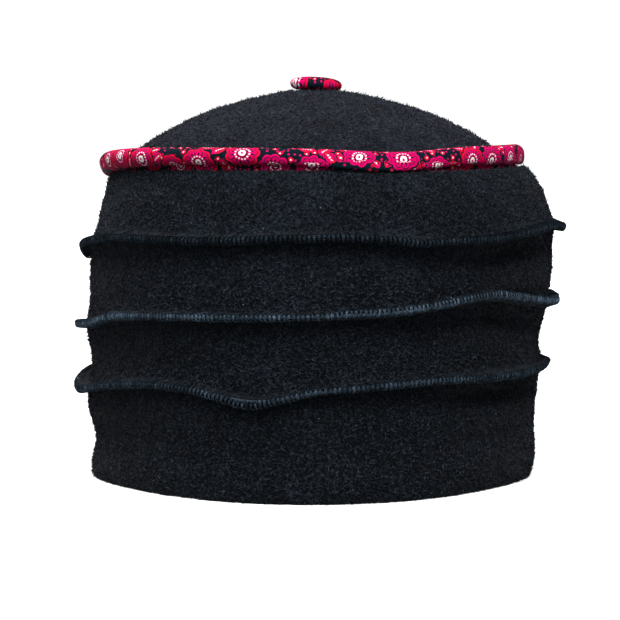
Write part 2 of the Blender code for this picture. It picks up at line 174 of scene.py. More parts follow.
# The colouring of fleece. A lift is a share of the way from the ground's colour to the tips'.
FLEECE_COLOURS_AND_PAINTED_LIGHT = {  # ground and tips; the crown's are lighter as painted light, the same fleece coloured lighter where it faces the light from above
    "band_fleece": ((0.0012, 0.0019, 0.0029), (0.048, 0.063, 0.089)),
    "crown_fleece": ((0.0030, 0.0036, 0.0056), (0.060, 0.070, 0.101)),
}
TUFT_LIFT = 0.36
WORN_PATCHES = {"Scale": 70.0, "Detail": 3.0}
WORN_EDGES = (0.35, 0.70)
WORN_LIFT = 0.07
PILLING_AND_SHADE_HEIGHTS = (0.13, 0.0)  # from not pilled to pilled, down to the hem; over the same heights the fleece gets its painted shade
# painted shade: the fleece is coloured darker down towards the hem
HEM_PAINTED_SHADE = -0.08
CURLS = {"Scale": 560.0, "Detail": 1.0}  # fibres lie where this noise crosses its middle
FIBRE_EDGES = (0.055, 0.010)
FIBRE_LIFTS = (0.08, 0.17)  # painted light and shade on the pile's clumps, more where it is pilled, and anywhere
CLUMP_PAINTED_LIGHTS = (0.10, 0.09)  # likewise
CLUMP_PAINTED_MIDDLE = 0.40  # painted light and shade: fuller clumps are coloured lighter, and the emptier places between them darker
LINT = (0.20, 0.21, 0.23, 1)
LINT_CELLS = 300.0
LINT_LEFT_OUT = 0.80
LINT_EDGES = (0.085, 0.045)
LINT_SHARE = 0.55

# The colouring of the overlock thread
THREAD_DARK = (0.0008, 0.0012, 0.0018, 1)
THREAD_LIGHT = (0.150, 0.225, 0.310, 1)
THREAD_PATCHES = {"Scale": 90.0, "Detail": 2.0}
PATCH_EDGES = (0.42, 0.62)
PATCH_LIGHTS = (0.40, 0.60)  # more in a patch, and anywhere
THREAD_PLIES = {"Scale": 1900.0, "Detail": 2.0}
PLY_EDGES = (0.25, 0.70)

# Light and camera, set as in the photograph
SUNS = {  # direction, softness in degrees and power
    "key_light": ((0.04, -0.62, 0.78), 34, 4.8),
    "front_light": ((-0.25, -0.90, 0.30), 50, 0.85),
    "back_light": ((-0.45, 0.62, 0.64), 40, 1.9),
    "dome_light": ((0.15, -0.50, 0.85), 110, 0.8),
}
FILL, BACKDROP = 0.15, 1.1  # the world's strength on the hat, and as the camera sees it
FLOOR_SIZE = 60
CAMERA_PLACE = (-0.0037, -0.980, 0.117)
CAMERA_AIM = (-0.0037, 0.0, 0.064)
LENS, SENSOR = 147, 36  # in millimetres


def pick_only(piece):
    """Selects one piece alone and makes it active."""
    bpy.ops.object.select_all(action="DESELECT")
    piece.select_set(True)
    bpy.context.view_layer.objects.active = piece


def apply_all(piece):
    """Applies every modifier of a piece, from the first."""
    pick_only(piece)
    for modifier in list(piece.modifiers):
        bpy.ops.object.modifier_apply(modifier=modifier.name)


def run_nodes(piece, tree, **inputs):
    """Runs geometry nodes over a piece with the given inputs, and applies them."""
    modifier = piece.modifiers.new(tree.name, "NODES")
    modifier.node_group = tree
    for item in tree.interface.items_tree:
        if item.in_out == "INPUT" and item.name in inputs:
            modifier[item.identifier] = inputs[item.name]
    apply_all(piece)


def note(piece, name, values):
    """Writes a value for each corner of a piece."""
    attribute = piece.data.attributes.new(name, "FLOAT", "POINT")
    attribute.data.foreach_set("value", values)


def put_in_scene(name, data):
    """A new object of a mesh, a curve, a light or a camera."""
    made = bpy.data.objects.new(name, data)
    bpy.context.scene.collection.objects.link(made)
    return made


def cloth_copy(node, name):
    """A closed copy of a CAD node, in four-sided faces."""
    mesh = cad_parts[node].data.copy()
    mesh.name = name
    mesh.materials.clear()
    piece = put_in_scene(name, mesh)
    pick_only(piece)
    bpy.ops.mesh.customdata_custom_splitnormals_clear()
    bpy.ops.object.mode_set(mode="EDIT")
    bpy.ops.mesh.select_all(action="SELECT")
    bpy.ops.mesh.remove_doubles(threshold=MERGE)
    bpy.ops.mesh.tris_convert_to_quads(face_threshold=math.pi, shape_threshold=math.pi)
    bpy.ops.object.mode_set(mode="OBJECT")
    bpy.ops.object.shade_smooth()
    return piece


def subdivide(piece, levels):
    """Rounds a piece off with a subdivision surface, applied."""
    modifier = piece.modifiers.new("Round", "SUBSURF")
    modifier.levels = levels
    modifier.render_levels = levels
    apply_all(piece)


def hand_over(piece, node):
    """Lets a finished piece stand for its CAD node."""
    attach(piece, "root")
    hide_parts(node)


def place(tree, kind, values=None, **settings):
    """Adds a node, with its settings, and sets or links its inputs."""
    node = tree.nodes.new(kind)
    for name, value in settings.items():
        setattr(node, name, value)
    for socket, value in (values or {}).items():
        if isinstance(value, bpy.types.NodeSocket):
            tree.links.new(value, node.inputs[socket])
        else:
            node.inputs[socket].default_value = value
    return node


def sum_of(tree, operation, *values, **settings):
    """The output of a Math node."""
    inputs = dict(enumerate(values))
    return place(tree, "ShaderNodeMath", inputs, operation=operation, **settings).outputs[0]


def vector_sum(tree, operation, *values):
    """The vector output of a Vector Math node."""
    inputs = dict(enumerate(values))
    return place(tree, "ShaderNodeVectorMath", inputs, operation=operation).outputs[0]


def noise_at(tree, where, looks):
    """The outputs of a noise with the given scale and detail."""
    return place(tree, "ShaderNodeTexNoise", {"Vector": where, **looks}).outputs


def over(tree, mask, below, above):
    """One colour laid over another where the mask is 1."""
    node = place(tree, "ShaderNodeMix", {0: mask, 6: below, 7: above}, data_type="RGBA")
    return node.outputs[2]


def soft_step(tree, value, start, end):
    """0 up to the start and 1 from the end, smooth between them, or the other way round."""
    values = {"Value": value, "From Min": start, "From Max": end, "To Min": 0.0, "To Max": 1.0}
    if start > end:
        values.update({"From Min": end, "From Max": start, "To Min": 1.0, "To Max": 0.0})
    return place(tree, "ShaderNodeMapRange", values, interpolation_type="SMOOTHSTEP").outputs[0]


def new_group(name, kind, inputs, outputs):
    """A node group with named sockets, and its input and output nodes."""
    tree = bpy.data.node_groups.new(name, kind)
    for socket, socket_type in inputs.items():
        tree.interface.new_socket(socket, in_out="INPUT", socket_type=socket_type)
    for socket, socket_type in outputs.items():
        tree.interface.new_socket(socket, in_out="OUTPUT", socket_type=socket_type)
    return tree, tree.nodes.new("NodeGroupInput").outputs, tree.nodes.new("NodeGroupOutput").inputs


def random_value(tree, low, high, seed):
    """A random number, or vector, for each point."""
    if isinstance(low, tuple):
        values = {0: low, 1: high, 8: seed}
        return place(tree, "FunctionNodeRandomValue", values, data_type="FLOAT_VECTOR").outputs[0]
    values = {2: low, 3: high, 8: seed}
    return place(tree, "FunctionNodeRandomValue", values, data_type="FLOAT").outputs[1]


def stored(tree, name, kind):
    """A value that the geometry carries under a name."""
    node = place(tree, "GeometryNodeInputNamedAttribute", {"Name": name}, data_type=kind)
    return node.outputs["Attribute"]


def turned(tree, rotation, angles):
    """A rotation, turned further about its own axes."""
    further = place(tree, "FunctionNodeEulerToRotation", {0: angles}).outputs[0]
    values = {0: rotation, 1: further}
    return place(tree, "FunctionNodeRotateRotation", values, rotation_space="LOCAL").outputs[0]


def realized(tree, instances, strand):
    """Instances made real, each with a value of its own in the attribute strand."""
    values = {"Geometry": instances, "Name": "strand", "Value": strand}
    kinds = {"data_type": "FLOAT", "domain": "INSTANCE"}
    marked = place(tree, "GeometryNodeStoreNamedAttribute", values, **kinds)
    return place(tree, "GeometryNodeRealizeInstances", {0: marked.outputs[0]}).outputs[0]


def pile_group():
    """Geometry nodes that scatter leaning tufts over a cloth and join them to it."""
    tree, given, made = new_group(
        "Fleece pile", "GeometryNodeTree",
        {"Cloth": "NodeSocketGeometry", "Tuft": "NodeSocketObject",
         "Density": "NodeSocketFloat", "Seed": "NodeSocketInt"},
        {"Cloth": "NodeSocketGeometry"},
    )
    density = sum_of(tree, "MULTIPLY", given["Density"], stored(tree, "pile", "FLOAT"))
    values = {"Mesh": given["Cloth"], "Density": density, "Seed": given["Seed"]}
    points = place(tree, "GeometryNodeDistributePointsOnFaces", values, distribute_method="RANDOM")
    lean = random_value(tree, (PILE_LEANS[0], 0.0, 0.0), (PILE_LEANS[1], 0.0, 0.0), 1)
    spin = random_value(tree, (0.0, 0.0, 0.0), (0.0, 0.0, math.tau), 2)
    leaning = turned(tree, turned(tree, points.outputs["Rotation"], spin), lean)
    tuft = place(tree, "GeometryNodeObjectInfo", {"Object": given["Tuft"], "As Instance": True})
    where = place(tree, "GeometryNodeInputPosition").outputs[0]
    clump = soft_step(tree, noise_at(tree, where, PILE_CLUMPS)[0], *CLUMP_EDGES)
    fullness = sum_of(tree, "MULTIPLY_ADD", clump, CLUMP_SIZES[1] - CLUMP_SIZES[0], CLUMP_SIZES[0])
    size = random_value(tree, *TUFT_SIZES, 3)
    size = vector_sum(tree, "MULTIPLY", size, stored(tree, "room", "FLOAT"))
    size = vector_sum(tree, "MULTIPLY", size, fullness)
    values = {"Points": points.outputs["Points"], "Instance": tuft.outputs["Geometry"],
              "Rotation": leaning, "Scale": size}
    tufts = place(tree, "GeometryNodeInstanceOnPoints", values).outputs[0]
    real = realized(tree, tufts, random_value(tree, 0.0, 1.0, 4))
    above_floor = vector_sum(tree, "MAXIMUM", where, (-1.0, -1.0, ABOVE_FLOOR))
    kept = place(tree, "GeometryNodeSetPosition", {"Geometry": real, "Position": above_floor})
    joined = tree.nodes.new("GeometryNodeJoinGeometry")
    tree.links.new(kept.outputs[0], joined.inputs[0])
    tree.links.new(given["Cloth"], joined.inputs[0])
    tree.links.new(joined.outputs[0], made[0])
    return tree


def tuft_of_pile(material):
    """One tuft: a three-sided spike that stands on the cloth."""
    bpy.ops.mesh.primitive_cone_add(
        vertices=3, radius1=PILE_WIDTH / 2, radius2=0, depth=PILE_LENGTH,
        location=(0, 0, PILE_LENGTH / 2 - PILE_WIDTH / 2))
    tuft = bpy.context.active_object
    bpy.ops.object.transform_apply(location=True)
    bpy.ops.object.shade_smooth()
    tuft.data.materials.append(material)
    return tuft


def neighbours_tree(own):
    """A search tree of all CAD nodes but one and the button, which sits down in the pile."""
    corners, faces = [], []
    for name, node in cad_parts.items():
        if name not in (own, "button"):
            start = len(corners)
            corners.extend(v.co.copy() for v in node.data.vertices)
            faces.extend([start + i for i in p.vertices] for p in node.data.polygons)
    return BVHTree.FromPolygons(corners, faces)


def mark_pile(piece, node):
    """Writes how dense and how long the pile is, and makes the free cloth a little uneven."""
    others = neighbours_tree(node)
    low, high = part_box(node)
    middle = (low + high) / 2
    density, room = (np.zeros(len(piece.data.vertices), np.float32) for _ in range(2))
    places = []
    for i, vertex in enumerate(piece.data.vertices):
        start = vertex.co + vertex.normal * MERGE
        ahead = others.ray_cast(start, vertex.normal, PILE_REACH)[3] or PILE_REACH
        nearest = others.find_nearest(vertex.co, PILE_REACH)[3] or PILE_REACH
        room[i] = min(ahead, BESIDE_SHARE * nearest, PILE_REACH) / PILE_REACH
        if room[i] > LEAST_PILE:
            outwards = (vertex.co - middle).to_2d().normalized()
            facing = vertex.normal.xy.dot(outwards) + max(vertex.normal.z, 0)
            density[i] = 1 if facing > INSIDE_FACING else INSIDE_SHARE
        bumps = noise.noise(vertex.co * BROAD_BUMPS)
        bumps += FINE_SHARE * noise.noise(vertex.co * FINE_BUMPS)
        free = max(0.0, float(room[i]) - 0.5) * 2
        places.append(vertex.co + vertex.normal * free * (UNEVENNESS * bumps - PILE_DEPTH))
    for vertex, spot in zip(piece.data.vertices, places):
        vertex.co = (spot.x, spot.y, max(spot.z, ABOVE_FLOOR))
    note(piece, "pile", density)
    note(piece, "room", room)


def closed_curve(points, pitch):
    """Points about a pitch apart on a smooth closed curve through the given ones."""
    points = np.asarray(points)
    before, after, next_but_one = (np.roll(points, -k, axis=0) for k in (-1, 1, 2))
    slope = (after - before) / 2
    next_slope = (next_but_one - points) / 2
    rise = after - points
    bend = 3 * rise - 2 * slope - next_slope
    twist = slope + next_slope - 2 * rise
    shares = np.arange(0, 1, CURVE_STEP)
    fine = [points + t * (slope + t * (bend + t * twist)) for t in shares]
    fine = np.stack(fine, axis=1).reshape(-1, points.shape[1])
    looped = np.vstack([fine, fine[:1]])
    steps = np.linalg.norm(np.diff(looped[:, :3], axis=0), axis=1)
    distance = np.concatenate([[0], np.cumsum(steps)])
    wanted = np.linspace(0, distance[-1], round(distance[-1] / pitch), endpoint=False)
    return np.stack([np.interp(wanted, distance, row) for row in looped.T], axis=1)


def columns_of(piece):
    """The corners of a turned solid, one array for each column round the hat's axis."""
    corners = np.array([v.co for v in piece.data.vertices])
    angles = np.arctan2(corners[:, 0], -corners[:, 1])
    order = np.argsort(angles)
    cuts = np.flatnonzero(np.diff(angles[order]) > COLUMN_GAP) + 1
    columns = np.split(corners[order], cuts)
    if len(columns[0]) != len(columns[1]):
        columns[0] = np.vstack([columns[0], columns.pop()])
    return columns


def turn_of(spot):
    """The angle of a point round the hat's axis in radians, 0 at the front."""
    return math.atan2(spot[0], -spot[1])


def bell(value, middle, spread):
    """1 at the middle, falling smoothly to both sides."""
    return math.exp(-((value - middle) / spread) ** 2)


def hump(value, start, width):
    """A smooth hump that stands between a start and a width further on."""
    share = (value - start) / width
    return math.sin(math.pi * share) ** 2 if 0 < share < 1 else 0.0


def tuck_under(piece, number):
    """Draws the cloth in under a ridge at the hat's right front, and lets it bulge below."""
    ridge = cloth_copy(f"edging_{number}", "ridge_guide")
    roots = sorted((turn_of(spot), spot[2]) for spot in ridge_lines(ridge)[1])
    bpy.data.objects.remove(ridge)
    turns, heights = np.array(roots).T
    for vertex in piece.data.vertices:
        turn = turn_of(vertex.co)
        below = np.interp(turn, turns, heights, period=math.tau) - vertex.co.z
        out = BULGE_DEPTH * hump(below, BULGE_FROM, BULGE_HEIGHT)
        out -= TUCK_DEPTH * hump(below, TUCK_FROM, TUCK_HEIGHT)
        turn = math.degrees(turn)
        out *= bell(turn, TUCK_TURN, TUCK_SPREADS[turn > TUCK_TURN])
        vertex.co.xy += vertex.co.xy.normalized() * out
    piece.data.update()


def dress_in_fleece(node, name, material, tree, seed):
    """A cloth with its pile, in place of its CAD node."""
    cloth = cloth_copy(node, name)
    subdivide(cloth, ROUNDINGS)
    if node in RIDGES_ABOVE:
        tuck_under(cloth, RIDGES_ABOVE[node])
    mark_pile(cloth, node)
    cloth.data.materials.append(material)
    tuft = tuft_of_pile(material)
    run_nodes(cloth, tree, Tuft=tuft, Density=PILE_DENSITY, Seed=seed)
    bpy.data.objects.remove(tuft)
    hand_over(cloth, node)


def ridge_lines(piece):
    """Middle lines of a ridge's free edge and of its thread's inner end."""
    edge, root = [], []
    for column in columns_of(piece):
        reach = np.hypot(column[:, 0], column[:, 1])
        edge.append(column[reach > reach.max() - EDGE_BAND].mean(axis=0))
        root.append(column[reach < reach.min() + ROOT_BAND].mean(axis=0))
    edge, root = np.array(edge), np.array(root)
    outwards = (edge - root) / np.linalg.norm(edge - root, axis=1)[:, None]
    return edge - outwards * STITCH_THREAD / 2, root


def on_edge(run):
    """Outwards and upwards place of a point of the edge's outline."""
    flat = EDGE_HEIGHT / 2 - EDGE_ROUNDING
    quarter = EDGE_ROUNDING * math.pi / 2
    distance = abs(run)
    if distance <= flat:
        out, up = 0, distance
    elif distance <= flat + quarter:
        turn = (distance - flat) / EDGE_ROUNDING
        out = -EDGE_ROUNDING * (1 - math.cos(turn))
        up = flat + EDGE_ROUNDING * math.sin(turn)
    else:
        out, up = -EDGE_ROUNDING - (distance - flat - quarter), EDGE_HEIGHT / 2
    return out, math.copysign(up, run)


def loop_points(legs, ends, shift):
    """The closed line of a loop of thread with two legs, in the frame of the ridge's edge."""
    half = STITCH_GAUGE / 2
    line = [(shift, ends[0])] + [(shift + half, run) for run in legs]
    line += [(shift, ends[1])] + [(shift - half, run) for run in reversed(legs)]
    return [(along, *on_edge(run)) for along, run in line]


def closed_line(name, points):
    """A curve that runs straight from each point to the next, and back to the first."""
    curve = bpy.data.curves.new(name, "CURVE")
    spline = curve.splines.new("POLY")
    spline.points.add(len(points) - 1)
    for point, spot in zip(spline.points, points):
        point.co = (*spot, 1)
    spline.use_cyclic_u = True
    return put_in_scene(name, curve)


def thread_loop(points, profile, shade):
    """A closed loop of thread through a list of points, as a mesh."""
    loop = closed_line("thread_loop", points)
    loop.data.dimensions = "3D"
    loop.data.bevel_mode = "OBJECT"
    loop.data.bevel_object = profile
    pick_only(loop)
    bpy.ops.object.convert(target="MESH")
    bpy.ops.object.shade_smooth()
    loop = bpy.context.active_object
    # painted shade: the lower loop carries a darker colour for the shade under the edge
    note(loop, "underside_painted_shade", [shade] * len(loop.data.vertices))
    return loop


def overlock_stitch(material):
    """One stitch of the overlock thread: a loop over the edge and one under it."""
    radius = STITCH_THREAD / 2
    turns = [math.tau * i / 3 for i in range(3)]
    corners = [(radius * math.cos(turn), radius * math.sin(turn), 0) for turn in turns]
    profile = closed_line("thread_profile", corners)
    upper = thread_loop(loop_points(UPPER_LOOP, UPPER_ENDS, 0), profile, 1.0)
    lower = loop_points(LOWER_LOOP, LOWER_ENDS, STITCH_PITCH / 2)
    # painted shade: the lower loop is coloured darker
    lower = thread_loop(lower, profile, LOWER_PAINTED_SHADE)
    bpy.data.objects.remove(profile)
    pick_only(upper)
    lower.select_set(True)
    bpy.ops.object.join()
    stitch = bpy.context.active_object
    bpy.ops.object.mode_set(mode="EDIT")
    bpy.ops.mesh.select_all(action="SELECT")
    bpy.ops.mesh.normals_make_consistent(inside=False)
    bpy.ops.object.mode_set(mode="OBJECT")
    stitch.data.materials.clear()
    stitch.data.materials.append(material)
    return stitch


def stitches_group():
    """Geometry nodes that set a stitch on each point of a line, along and upright."""
    tree, given, made = new_group(
        "Stitches on a line", "GeometryNodeTree",
        {"Line": "NodeSocketGeometry", "Stitch": "NodeSocketObject", "Light": "NodeSocketFloat"},
        {"Stitches": "NodeSocketGeometry"},
    )
    axes = {"Primary Axis": stored(tree, "along", "FLOAT_VECTOR"),
            "Secondary Axis": stored(tree, "upright", "FLOAT_VECTOR")}
    kinds = {"primary_axis": "X", "secondary_axis": "Z"}
    turn = place(tree, "FunctionNodeAxesToRotation", axes, **kinds).outputs[0]
    wobble = random_value(tree, tuple(-most for most in STITCH_TURNS), STITCH_TURNS, 5)
    stitch = place(tree, "GeometryNodeObjectInfo", {"Object": given["Stitch"], "As Instance": True})
    values = {"Points": given["Line"], "Instance": stitch.outputs["Geometry"],
              "Rotation": turned(tree, turn, wobble),
              "Scale": random_value(tree, *STITCH_SIZES, 6)}
    stitches = place(tree, "GeometryNodeInstanceOnPoints", values).outputs[0]
    # painted light and shade: each ridge's stitches are coloured lighter or darker by its painted
    # light
    light = sum_of(tree, "MULTIPLY", random_value(tree, *STRAND_LIGHTS, 7), given["Light"])
    tree.links.new(realized(tree, stitches, light), made[0])
    return tree


def stitch_line(name, edge, root):
    """A line of points on the middle of a ridge's edge, with its directions."""
    mesh = bpy.data.meshes.new(name)
    mesh.from_pydata(edge.tolist(), [], [])
    along = np.roll(edge, -1, axis=0) - np.roll(edge, 1, axis=0)
    outward = edge - root
    upright = np.cross(along, outward)
    for label, values in (("along", along), ("upright", upright)):
        values = values / np.linalg.norm(values, axis=1)[:, None]
        attribute = mesh.attributes.new(label, "FLOAT_VECTOR", "POINT")
        attribute.data.foreach_set("vector", values.astype(np.float32).ravel())
    return put_in_scene(name, mesh)


def press_bed(bed):
    """Thins the casing of thread towards the middle line of its ridge, and draws it in a little."""
    columns = columns_of(bed)
    turns = np.array([turn_of(column.mean(axis=0)) for column in columns])
    heights = np.array([(column[:, 2].min() + column[:, 2].max()) / 2 for column in columns])
    order = np.argsort(turns)
    for vertex in bed.data.vertices:
        height = np.interp(turn_of(vertex.co), turns[order], heights[order], period=math.tau)
        vertex.co.z = height + (vertex.co.z - height) * BED_SHARE
        vertex.co.xy -= vertex.co.xy.normalized() * BED_INSET


def overlocked_edge(number, tree, stitch, material):
    """The thread round a ridge: a thin bed of it and the stitches on top."""
    node = f"edging_{number}"
    bed = cloth_copy(node, f"ridge_{number}_overlock")
    edge, root = ridge_lines(bed)
    press_bed(bed)
    both = closed_curve(np.hstack([edge, root]), STITCH_PITCH)
    subdivide(bed, 1)
    bed.data.materials.append(material)
    corners = len(bed.data.vertices)
    # painted shade: the bed is coloured darker than its stitches
    note(bed, "strand", [BED_PAINTED_SHADE * RIDGE_PAINTED_LIGHTS[number]] * corners)
    note(bed, "underside_painted_shade", [1.0] * corners)
    line = stitch_line(f"stitches_{number}", both[:, :3], both[:, 3:])
    # painted light and shade: the ridge's thread is coloured by how its face is lit
    run_nodes(line, tree, Stitch=stitch, Light=RIDGE_PAINTED_LIGHTS[number])
    pick_only(bed)
    line.select_set(True)
    bpy.ops.object.join()
    hand_over(bed, node)


def lay_print(piece, place_of):
    """Gives a piece its own map for the print, in metres, from the place of each corner."""
    layer = piece.data.uv_layers.new(name="print")
    places = [place_of(v.co) for v in piece.data.vertices]
    length = place_of.length
    for face in piece.data.polygons:
        spots = [places[piece.data.loops[i].vertex_index] for i in face.loop_indices]
        first = spots[0][0]
        for i, (along, around) in zip(face.loop_indices, spots):
            if length:
                along += length * round((first - along) / length)
            layer.data[i].uv = (along, around)


class AlongCord:
    """Finds a point's place on the piping: the way along the cord and the way round it."""

    def __init__(self, piece):
        centres = []
        for column in columns_of(piece):
            reach = np.hypot(column[:, 0], column[:, 1])
            turn = turn_of(column[reach.argmax()])
            centres.append((turn, reach.max() - CORD_RADIUS, column[:, 2].max() - CORD_RADIUS))
        self.turns, self.reaches, self.heights = np.array(sorted(centres)).T
        x, y = self.reaches * np.sin(self.turns), self.reaches * np.cos(self.turns)
        steps = np.hypot(np.diff(x, append=x[0]), np.diff(y, append=y[0]))
        self.length = float(steps.sum())
        self.ways = np.concatenate([[0], np.cumsum(steps)])
        self.looped = np.append(self.turns, self.turns[0] + math.tau)

    def __call__(self, spot):
        around = (turn_of(spot) - self.turns[0]) % math.tau + self.turns[0]
        along = np.interp(around, self.looped, self.ways)
        out, up = self.section_of(spot)
        if math.hypot(out, up) > TAIL_FROM * CORD_RADIUS:
            return along, up + CORD_RADIUS
        angle = math.atan2(out, -up)
        if angle < SEAM_TURN:
            angle += math.tau
        return along, angle * CORD_RADIUS

    def section_of(self, spot):
        """A point's place in the cord's section, outwards and upwards of its middle."""
        turn = turn_of(spot)
        out = spot.xy.length - np.interp(turn, self.turns, self.reaches, period=math.tau)
        return out, spot.z - np.interp(turn, self.turns, self.heights, period=math.tau)


def sag_cover(piece, cord):
    """Lets the cord dip and press flatter, and its cover sag onto the cloth and the crown."""
    for vertex in piece.data.vertices:
        out, up = cord.section_of(vertex.co)
        turn = math.degrees(turn_of(vertex.co))
        if up > -CORD_RADIUS * TAIL_FROM:
            middle, spread, depth = CORD_DIP
            vertex.co.z -= depth * bell(turn, middle, spread)
            middle, spread, depth = CORD_PRESS
            vertex.co.z -= depth * bell(turn, middle, spread) * max(up / CORD_RADIUS, 0)
        if out > -CORD_RADIUS / 4 and up < -CORD_RADIUS / 2:
            for middle, spread, depth, bulge in COVER_SAGS:
                share = bell(turn, middle, spread)
                vertex.co.z -= depth * share
                vertex.co.xy += vertex.co.xy.normalized() * bulge * share
        elif out < -CORD_RADIUS / 2 and up > -CORD_RADIUS:
            middle, spread, depth = CROWN_LAP
            vertex.co.xy -= vertex.co.xy.normalized() * depth * bell(turn, middle, spread)


def pucker(piece, place_of):
    """Raises and sinks a sewn cover a little along its seam, as its stitches gather it."""
    longer, start = SECOND_PUCKER
    everywhere, at_seam = PUCKER_SHARES
    for vertex in piece.data.vertices:
        along, around = place_of(vertex.co)
        wave = math.sin(math.tau * along / PUCKER_PITCH)
        wave += math.sin(math.tau * along / (PUCKER_PITCH * longer) + start)
        near_seam = math.cos(around / CORD_RADIUS / 2) ** 2
        vertex.co += vertex.normal * (PUCKER_DEPTH * wave * (everywhere + at_seam * near_seam))


class AcrossButton:
    """Finds a point's place on the button: as far from its middle as the cloth reaches."""

    length = 0

    def __init__(self):
        low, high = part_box("button")
        self.middle = (low + high) / 2
        self.radius = (high.y - low.y) / 2

    def __call__(self, spot):
        away = spot - self.middle
        reach = away.xy.length
        if away.z < 0:
            reach = 2 * self.radius - reach
        direction = away.xy.normalized() if away.xy.length > MERGE else Vector((0, 0))
        return BUTTON_SPOT[0] + direction.x * reach, BUTTON_SPOT[1] + direction.y * reach


def either(tree, *masks):
    """The strongest of some masks."""
    strongest = masks[0]
    for mask in masks[1:]:
        strongest = sum_of(tree, "MAXIMUM", strongest, mask)
    return strongest


def both_of(tree, *masks):
    """The product of some masks."""
    product = masks[0]
    for mask in masks[1:]:
        product = sum_of(tree, "MULTIPLY", product, mask)
    return product


def length_of(tree, x, y):
    """How long a flat way is."""
    flat = place(tree, "ShaderNodeCombineXYZ", {0: x, 1: y}).outputs[0]
    return place(tree, "ShaderNodeVectorMath", {0: flat}, operation="LENGTH").outputs["Value"]


def in_band(tree, value, middle, half_width):
    """1 where a value lies within a band, soft at its edges."""
    distance = sum_of(tree, "ABSOLUTE", sum_of(tree, "SUBTRACT", value, middle))
    return soft_step(tree, distance, half_width + PRINT_EDGE, half_width - PRINT_EDGE)


def within(tree, value, limit):
    """1 where a value is below a limit, soft at the limit."""
    return soft_step(tree, value, limit + PRINT_EDGE, limit - PRINT_EDGE)


def round_share(tree, angle, count):
    """The place of an angle between two of some marks set round a middle, -0.5 to 0.5."""
    turns = sum_of(tree, "MULTIPLY", angle, count / math.tau)
    return sum_of(tree, "SUBTRACT", sum_of(tree, "FRACT", turns), 0.5)


def beads_on(tree, distance, angle, count, ring, radius):
    """A ring of round beads about a middle."""
    across = sum_of(tree, "MULTIPLY", round_share(tree, angle, count), math.tau * ring / count)
    along = sum_of(tree, "SUBTRACT", distance, ring)
    return within(tree, length_of(tree, across, along), radius)


def teeth_on(tree, distance, angle, count, foot, height):
    """A ring of pointed teeth that stand outwards from a foot."""
    slope = sum_of(tree, "ABSOLUTE", round_share(tree, angle, count))
    tip = sum_of(tree, "MULTIPLY_ADD", slope, -3 * height, foot + height)
    below_tip = within(tree, sum_of(tree, "SUBTRACT", distance, tip), 0)
    return both_of(tree, below_tip, soft_step(tree, distance, foot - PRINT_EDGE, foot + PRINT_EDGE))


def cells_of(tree, spot, size, unevenness):
    """Cells about as wide as the given size: way from a cell's middle, and its three chances."""
    values = {"Vector": spot, "Scale": 1 / size, "Randomness": unevenness}
    kinds = {"voronoi_dimensions": "2D", "feature": "F1"}
    cells = place(tree, "ShaderNodeTexVoronoi", values, **kinds).outputs
    away = vector_sum(tree, "SUBTRACT", spot, cells["Position"])
    away = place(tree, "ShaderNodeSeparateXYZ", {0: away}).outputs
    chances = place(tree, "ShaderNodeSeparateColor", {0: cells["Color"]})
    return away["X"], away["Y"], chances.outputs


def chance_of(tree, chance, left_out):
    """1 where a chance is above the share that is left out."""
    return sum_of(tree, "GREATER_THAN", chance, left_out)


def turned_way(tree, x, y, chance):
    """A flat way seen from a side that a chance picks."""
    turn = sum_of(tree, "MULTIPLY", chance, math.tau)
    flat = place(tree, "ShaderNodeCombineXYZ", {0: x, 1: y}).outputs[0]
    values = {"Vector": flat, "Angle": turn}
    seen = place(tree, "ShaderNodeVectorRotate", values, rotation_type="Z_AXIS").outputs[0]
    parts = place(tree, "ShaderNodeSeparateXYZ", {0: seen}).outputs
    return parts["X"], parts["Y"]


def dotted_ground(tree, spot):
    """Navy with dots, some of them drops with a white light."""
    x, y, chance = cells_of(tree, spot, *DOT_CELLS)
    shown = chance_of(tree, chance[0], DOTS_LEFT_OUT)
    dot = both_of(tree, within(tree, length_of(tree, x, y), DOT_RADIUS), shown)
    colour = over(tree, dot, NAVY, MAGENTA)
    x, y, chance = cells_of(tree, spot, *DROP_CELLS)
    x, y = turned_way(tree, x, y, chance[1])
    shape = sum_of(tree, "MULTIPLY_ADD", y, DROP_POINT, length_of(tree, x, y))
    colour = over(tree, within(tree, shape, DROP_RING), colour, NAVY)
    colour = over(tree, within(tree, shape, DROP_RADIUS), colour, RED)
    shift, radius = DROP_LIGHT
    light = within(tree, length_of(tree, x, sum_of(tree, "ADD", y, shift)), radius)
    return over(tree, light, colour, WHITE)


def leaves_on(tree, spot, colour):
    """Leaves with a dark outline, a lighter middle and a run of white beads."""
    x, y, chance = cells_of(tree, spot, *LEAF_CELLS)
    x, y = turned_way(tree, x, y, chance[0])
    across = sum_of(tree, "ABSOLUTE", y)
    taper = sum_of(tree, "MULTIPLY", sum_of(tree, "MULTIPLY", x, x), LEAF_TAPER)
    inside = sum_of(tree, "SUBTRACT", sum_of(tree, "SUBTRACT", LEAF_HALF_WIDTH, taper), across)
    outside = sum_of(tree, "MULTIPLY", inside, -1)
    shown = chance_of(tree, chance[2], LEAVES_LEFT_OUT)
    leaf = both_of(tree, within(tree, outside, 0.0), shown)
    outer = both_of(tree, within(tree, outside, LEAF_OUTLINE), shown)
    half = chance_of(tree, chance[1], 0.5)
    body = over(tree, half, RED, MAGENTA)
    body = over(tree, in_band(tree, inside, *LEAF_VEIN), body, NAVY)
    body = over(tree, within(tree, across, LEAF_HEART), body, over(tree, half, MAGENTA, RED))
    radius, inset = LEAF_BEADS
    run = sum_of(tree, "SUBTRACT", sum_of(tree, "FRACT", x), 0.5)
    beads = both_of(
        tree, within(tree, length_of(tree, run, y), radius), within(tree, outside, -inset))
    body = over(tree, beads, body, WHITE)
    colour = over(tree, outer, colour, NAVY)
    return over(tree, leaf, colour, body)


